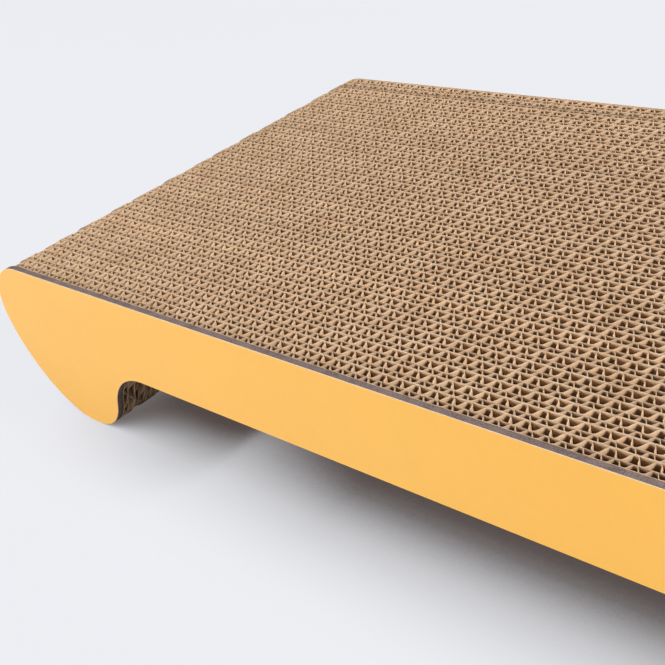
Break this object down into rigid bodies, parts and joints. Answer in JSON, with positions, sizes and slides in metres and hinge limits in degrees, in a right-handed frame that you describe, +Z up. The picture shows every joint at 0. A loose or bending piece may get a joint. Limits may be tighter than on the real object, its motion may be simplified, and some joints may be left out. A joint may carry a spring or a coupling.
{
  "type": "cat scratcher",
  "caption": "Low bench-shaped cat scratcher of corrugated boards glued on edge, flutes open on the flat top, with rounded ends, feet and orange side panels.",
  "frame": {"origin": "centre of the footprint, on the floor under the feet", "axes": "+X along the length, +Y from the front panel to the rear panel, +Z up"},
  "size_m": [0.55, 0.2356, 0.075],
  "materials": {
    "kraft_board": "unbleached kraft paper, matt",
    "grey_chipboard": "grey recycled fibre, matt",
    "orange_print": "plain orange-yellow print, satin"
  },
  "bodies": {
    "root": {"board_01": "kraft_board", "board_02": "kraft_board", "board_03": "kraft_board", "board_04": "kraft_board", "board_05": "kraft_board", "board_06": "kraft_board", "board_07": "kraft_board", "board_08": "kraft_board", "board_09": "kraft_board", "board_10": "kraft_board", "board_11": "kraft_board", "board_12": "kraft_board", "board_13": "kraft_board", "board_14": "kraft_board", "board_15": "kraft_board", "board_16": "kraft_board", "board_17": "kraft_board", "board_18": "kraft_board", "board_19": "kraft_board", "board_20": "kraft_board", "board_21": "kraft_board", "board_22": "kraft_board", "board_23": "kraft_board", "board_24": "kraft_board", "board_25": "kraft_board", "board_26": "kraft_board", "board_27": "kraft_board", "board_28": "kraft_board", "board_29": "kraft_board", "board_30": "kraft_board", "board_31": "kraft_board", "board_32": "kraft_board", "board_33": "kraft_board", "board_34": "kraft_board", "front_panel_core": "grey_chipboard", "rear_panel_core": "grey_chipboard", "front_panel_print": "orange_print", "rear_panel_print": "orange_print"}
  },
  "joints": []
}
